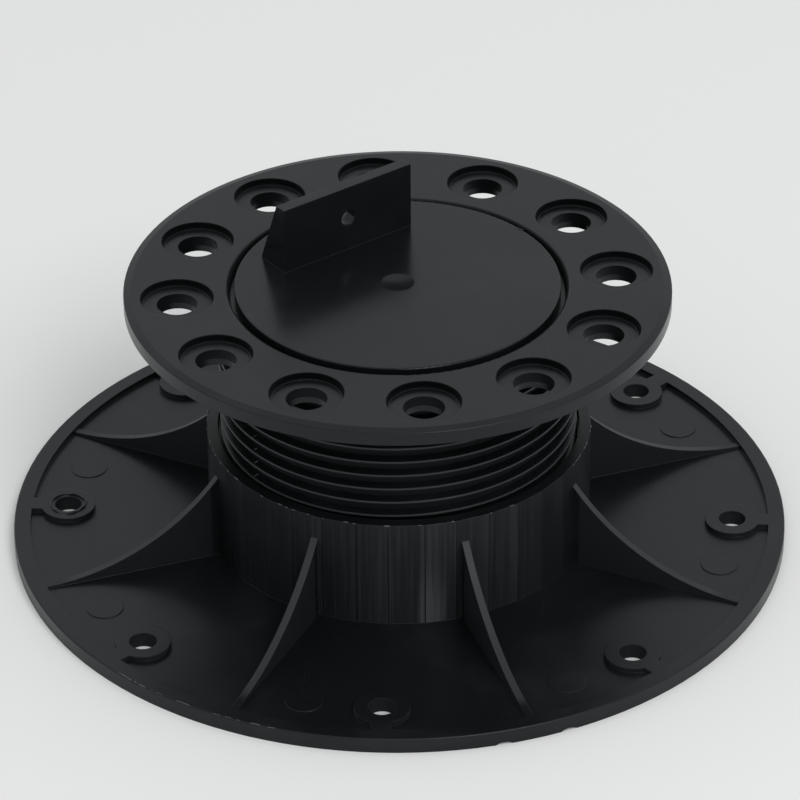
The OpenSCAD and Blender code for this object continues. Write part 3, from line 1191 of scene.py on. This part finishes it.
@dataclass
class Studio:
    """Pale floor, soft light and the camera.

    Attributes:
        lens_mm: Focal length.
        sensor_mm: Width of the camera's sensor.
        clip: Nearest and farthest distances that the camera sees.
        distance: From the camera to its target.
        elevation_deg: Height of the camera above the horizon.
        roll_deg: How far the camera leans to its right.
        target: Point that the camera looks at.
        floor_half: Half the side of the floor.
        sky: Strength of the even light all round.
        sky_tint: Its colour.
        paint: The floor's paint.
        key: The lamp.
    """

    lens_mm: float = 216.44
    sensor_mm: float = 36.0
    clip: Pair = (0.01, 50.0)
    distance: float = 1.2511
    elevation_deg: float = 32.30
    roll_deg: float = 0.399
    target: Triple = (0.40 * MM, 0.0, 38.81 * MM)
    floor_half: float = 6.0
    sky: float = 0.69
    sky_tint: Triple = (0.985, 0.995, 1.0)
    paint: FloorPaint = field(default_factory=FloorPaint)
    key: SoftBox = SoftBox(
        "key_box", heading_deg=-60.0, elevation_deg=48.0, distance=2.0, width=0.9, height=0.9, watts=14.0
    )

    def build(self) -> None:
        """Makes the floor, the lights and the camera."""
        self.build_floor()
        self.build_light()
        self.build_camera()

    def build_floor(self) -> None:
        """Lays the floor on the ground."""
        half = self.floor_half
        corners = [(-half, -half, 0), (half, -half, 0), (half, half, 0), (-half, half, 0)]
        mesh = bpy.data.meshes.new("studio_floor")
        mesh.from_pydata(corners, [], [(0, 1, 2, 3)])
        mesh.materials.append(self.paint.material())
        floor = add_object("studio_floor", mesh)

    def build_light(self) -> None:
        """Sets the even sky and hangs the lamp."""
        world = bpy.data.worlds.new("studio_sky")
        bpy.context.scene.world = world
        world.use_nodes = True
        glow = world.node_tree.nodes["Background"]
        glow.inputs["Color"].default_value = (*self.sky_tint, 1.0)
        glow.inputs["Strength"].default_value = self.sky
        self.key.build()

    def build_camera(self) -> None:
        """Sets the camera at the photograph's angle."""
        rise = math.radians(self.elevation_deg)
        back = Vector((0.0, -math.cos(rise), math.sin(rise)))
        lens = bpy.data.cameras.new("studio_camera")
        lens.lens = self.lens_mm
        lens.sensor_width = self.sensor_mm
        lens.clip_start, lens.clip_end = self.clip
        camera = add_object("studio_camera", lens)
        camera.location = Vector(self.target) + back * self.distance
        camera.rotation_mode = "QUATERNION"
        lean = Quaternion(UP, -math.radians(self.roll_deg))
        camera.rotation_quaternion = (-back).to_track_quat("-Z", "Y") @ lean
        bpy.context.scene.camera = camera


UPRIGHT = {"flat": 0.995, "fade": 0.12}
FLANGE_HOLES = {"holes": 12, "ring_r": 56.7 * MM, "first_deg": 6.4}
BOSS_HOLES = {"holes": 8, "ring_r": BOSS_RING_R, "first_deg": -3.0}

# Pale plastic of the flash: painted glints on the torn flakes, and strained plastic's whitening.
GLINT_FLASH_PLASTIC = MouldedPlastic(
    "glint_flash_plastic", colour=(0.10, 0.105, 0.11), wear_and_light_colour=(0.30, 0.31, 0.32), roughness=0.4
)
DISC_PLASTIC = MouldedPlastic("disc_plastic", roughness=0.23, cloud=0.03)
# The ribs' sides, rougher and evenly a little pale as painted light from the floor, and the walls of the
# bosses' holes, whose shading normals lean up and which keep the plain dark colour as painted shade.
BASE_PLASTIC = MouldedPlastic(
    "base_plastic",
    Grain.DRAWN,
    roughness=0.31,
    bands=(
        WallBand(52.0 * MM, 97.0 * MM, 2.9 * MM, flat=0.3, fade=0.2, pale=0.05),
        WallBand(0.0, 4.4 * MM, -1.0 * MM, draft=0.25, **BOSS_HOLES),
    ),
)
# The through holes, their counterbores, the disc's seat and the stem, whose walls lean their shading normals
# and keep the plain dark colour as painted shade; and the crest of the stem's ridge, paled as a painted
# reflection of the bright floor.
HEAD_PLASTIC = MouldedPlastic(
    "head_plastic",
    roughness=0.29,
    bands=(
        WallBand(0.0, 6.5 * MM, FLANGE_FOOT_Z, draft=-0.35, **UPRIGHT, **FLANGE_HOLES),
        WallBand(6.5 * MM, 10.0 * MM, FLANGE_FOOT_Z, draft=-0.9, **UPRIGHT, **FLANGE_HOLES),
        WallBand(41.5 * MM, 44.4 * MM, FLANGE_FOOT_Z, draft=-0.35, **UPRIGHT),
        WallBand(43.0 * MM, 44.4 * MM, 20.0 * MM, draft=-0.30),
        WallBand(46.1 * MM, 46.8 * MM, 20.0 * MM, flat=0.7, dull=0.0, pale=0.4),
    ),
)


def main() -> None:
    """Builds the pedestal's looks and the studio."""
    logging.basicConfig(level=logging.INFO, format="%(name)s: %(message)s")
    bpy.context.scene.view_settings.view_transform = "Standard"
    mouldings = (
        BaseMoulding("base", Body.BASE, BASE_PLASTIC, GLINT_FLASH_PLASTIC),
        HeadMoulding("threaded_head", Body.HEAD, HEAD_PLASTIC, GLINT_FLASH_PLASTIC),
        DiscMoulding("joist_disc", Body.DISC, DISC_PLASTIC),
    )
    for moulding in mouldings:
        moulding.build()
    Studio().build()


if __name__ == "__main__":
    main()
